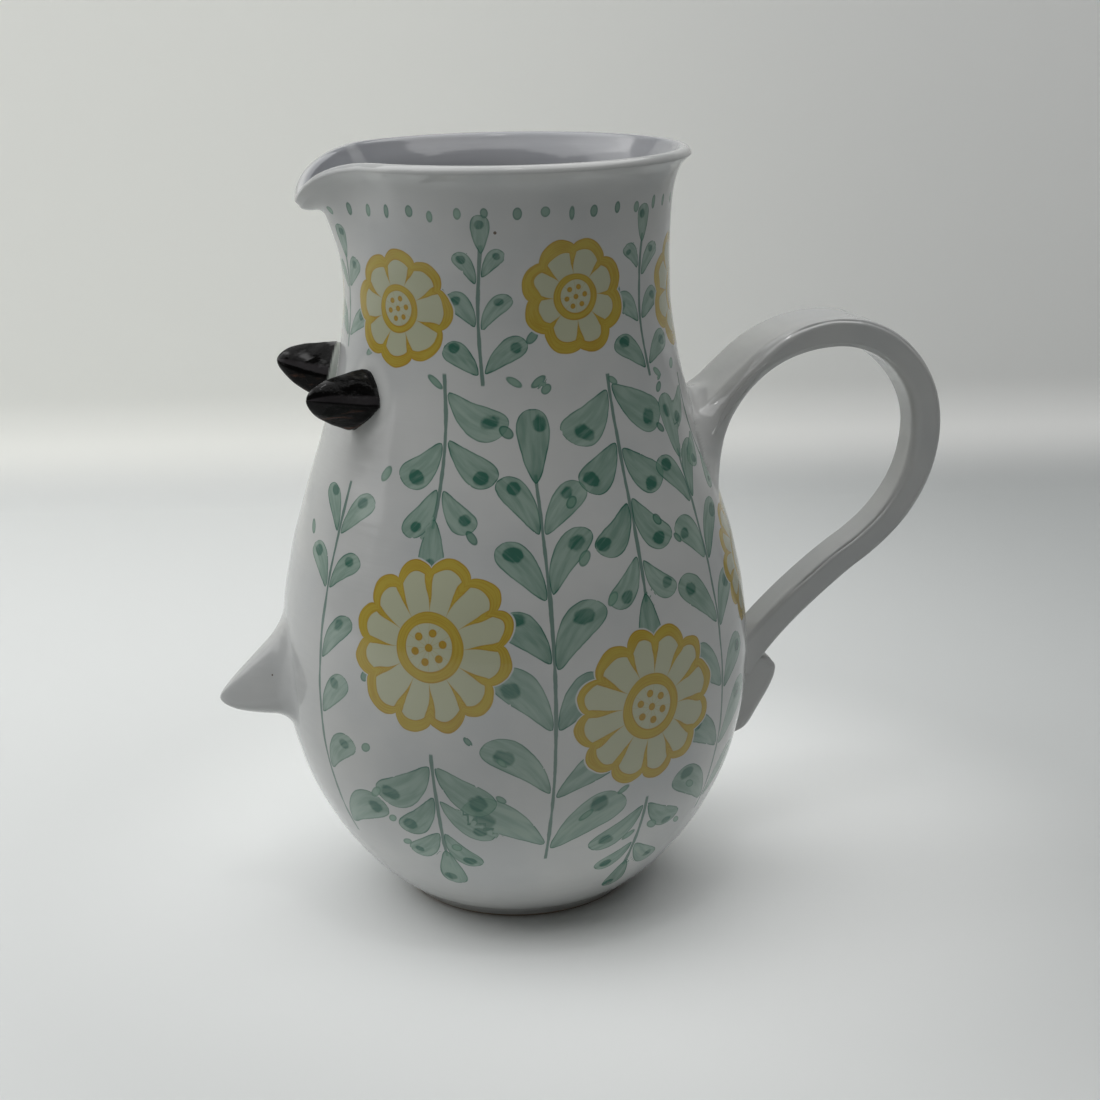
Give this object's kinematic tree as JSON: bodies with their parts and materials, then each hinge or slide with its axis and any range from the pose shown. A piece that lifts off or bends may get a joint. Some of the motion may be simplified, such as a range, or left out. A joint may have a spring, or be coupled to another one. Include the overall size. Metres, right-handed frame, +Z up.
{
  "type": "pitcher",
  "caption": "Hand-thrown glazed pitcher with a pulled pouring lip, a strap handle, a cone-shaped nose on the belly and a pair of short horns.",
  "frame": {"origin": "on the standing surface, under the middle of the whole outline", "axes": "+Z up through the vessel, -X towards the pouring lip and the nose, +X towards the handle, -Y the side seen in the picture"},
  "size_m": [0.2424, 0.1516, 0.24],
  "materials": {
    "white_glaze": null,
    "dark_glaze": "gloss brown-black glaze"
  },
  "bodies": {
    "root": {"vessel_body": "white_glaze", "strap_handle": "white_glaze", "handle_terminal": "white_glaze", "nose": "white_glaze", "horn_right": "dark_glaze", "horn_left": "dark_glaze"}
  },
  "joints": []
}
